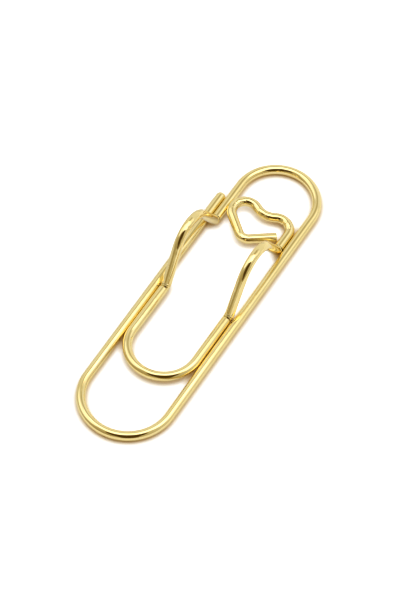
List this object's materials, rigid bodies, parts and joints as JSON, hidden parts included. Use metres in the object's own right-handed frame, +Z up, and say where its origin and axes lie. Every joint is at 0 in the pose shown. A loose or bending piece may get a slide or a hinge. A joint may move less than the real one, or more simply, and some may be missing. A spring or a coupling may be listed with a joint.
{
  "type": "paper clip",
  "caption": "Gold paper clip of bent round wire: an outer loop, a springy inner tongue with arches that hold a pen across it, and a heart at its inner end.",
  "frame": {"origin": "centre of the clip's length and width, on the surface that it lies on", "axes": "+Z up from that surface, +Y along the clip towards the bend beside the heart, +X to the right with the free leg on the left"},
  "size_m": [0.0208, 0.0748, 0.012],
  "materials": {
    "free_leg": "polished gold plating over drawn steel wire",
    "outer_bend_free_half": "polished gold plating over drawn steel wire",
    "outer_bend_long_half": "polished gold plating over drawn steel wire",
    "long_leg": "polished gold plating over drawn steel wire",
    "top_bend_long_half": "polished gold plating over drawn steel wire",
    "top_bend_short_half": "polished gold plating over drawn steel wire",
    "short_leg": "polished gold plating over drawn steel wire",
    "left_pen_arch": "polished gold plating over drawn steel wire",
    "inner_left_leg": "polished gold plating over drawn steel wire",
    "inner_bend_left_half": "polished gold plating over drawn steel wire",
    "inner_bend_right_half": "polished gold plating over drawn steel wire",
    "inner_right_leg": "polished gold plating over drawn steel wire",
    "right_pen_arch": "polished gold plating over drawn steel wire",
    "heart_shank": "polished gold plating over drawn steel wire",
    "heart_right_lobe": "polished gold plating over drawn steel wire",
    "heart_left_lobe": "polished gold plating over drawn steel wire",
    "heart_point": "polished gold plating over drawn steel wire"
  },
  "bodies": {
    "outer loop": {"outer_bend_long_half": "outer_bend_long_half", "long_leg": "long_leg", "top_bend_long_half": "top_bend_long_half"},
    "free leg": {"free_leg": "free_leg", "outer_bend_free_half": "outer_bend_free_half"},
    "tongue": {"top_bend_short_half": "top_bend_short_half", "short_leg": "short_leg", "left_pen_arch": "left_pen_arch", "inner_left_leg": "inner_left_leg", "inner_bend_left_half": "inner_bend_left_half"},
    "heart arm": {"inner_bend_right_half": "inner_bend_right_half", "inner_right_leg": "inner_right_leg", "right_pen_arch": "right_pen_arch", "heart_shank": "heart_shank", "heart_right_lobe": "heart_right_lobe", "heart_left_lobe": "heart_left_lobe", "heart_point": "heart_point"}
  },
  "joints": [
    {"name": "outer_bend_twist", "type": "hinge", "parent": "outer loop", "child": "free leg", "pos_m": [0, -0.03643, 0.001], "axis": [1, 0, 0], "range_deg": [0, 3], "stiffness_Nm_per_rad": 4},
    {"name": "top_bend_twist", "type": "hinge", "parent": "outer loop", "child": "tongue", "pos_m": [0.00104, 0.03643, 0.001], "axis": [-1, 0, 0], "range_deg": [0, 8], "stiffness_Nm_per_rad": 4},
    {"name": "inner_bend_twist", "type": "hinge", "parent": "tongue", "child": "heart arm", "pos_m": [0, -0.02098, 0.0015], "axis": [1, 0, 0], "range_deg": [0, 4], "stiffness_Nm_per_rad": 5}
  ]
}
